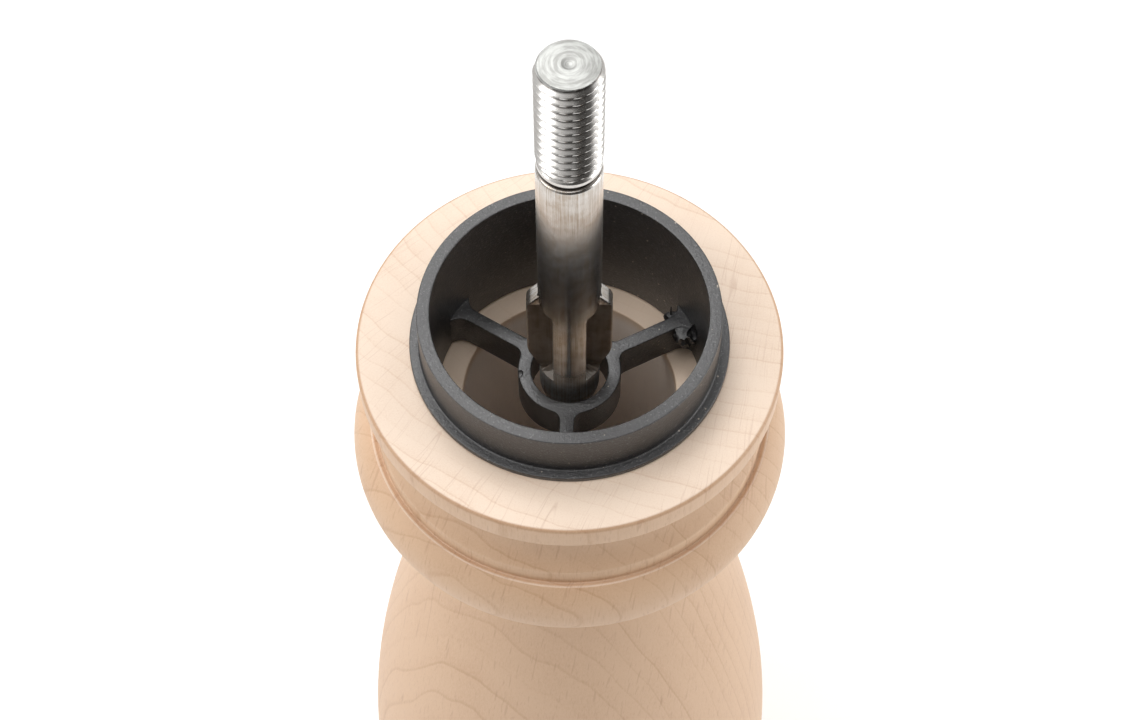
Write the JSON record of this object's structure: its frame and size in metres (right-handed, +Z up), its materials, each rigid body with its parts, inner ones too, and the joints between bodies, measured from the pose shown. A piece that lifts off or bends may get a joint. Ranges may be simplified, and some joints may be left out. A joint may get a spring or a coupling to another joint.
{
  "type": "hand burr coffee mill",
  "caption": "Turned wooden hand mill with its head off: threaded drive shaft with pinched ears, spoked fill bush and a spring-loaded conical burr set in the base.",
  "frame": {"origin": "middle of the base, on the surface that the mill stands on", "axes": "+Z up along the drive shaft; the pinched ears of the shaft point along X; -Y faces the viewer, with one spoke of the bush pointing that way"},
  "size_m": [0.0702, 0.0702, 0.2262],
  "materials": {
    "beech_wood": "fine sanded and oiled, pale steamed beech with end grain on the rim",
    "black_plastic": "fine spark texture, matte",
    "stainless_steel": "drawn and polished, rolled thread",
    "burr_steel": "hardened, satin",
    "brass": "turned",
    "grey_plastic": "moulded, matte"
  },
  "bodies": {
    "body": {"wood_body": "beech_wood", "top_bush": "black_plastic", "burr_housing": "black_plastic", "shaft_bearing": "brass", "outer_burr": "burr_steel", "burr_spring": "stainless_steel", "spring_seat": "stainless_steel", "stop_washer": "stainless_steel", "clamp_ring": "stainless_steel", "clamp_screw_1": "stainless_steel", "clamp_screw_2": "stainless_steel", "clamp_screw_3": "stainless_steel"},
    "thrust": {"thrust_washer": "brass"},
    "shaft": {"drive_shaft": "stainless_steel", "shaft_clip": "stainless_steel", "burr_carrier": "grey_plastic", "inner_burr": "burr_steel", "burr_washer": "stainless_steel", "lock_washer": "stainless_steel", "burr_nut": "brass"}
  },
  "joints": [
    {"name": "grind_adjust", "type": "slide", "parent": "body", "child": "thrust", "axis": [0, 0, 1], "range_m": [0, 0.002], "stiffness_N_per_m": 1500, "springref_m": -0.006, "deforming": ["burr_spring"]},
    {"name": "shaft_turn", "type": "hinge", "parent": "thrust", "child": "shaft", "pos_m": [0, 0, 0.0323], "axis": [0, 0, 1], "continuous": true}
  ]
}
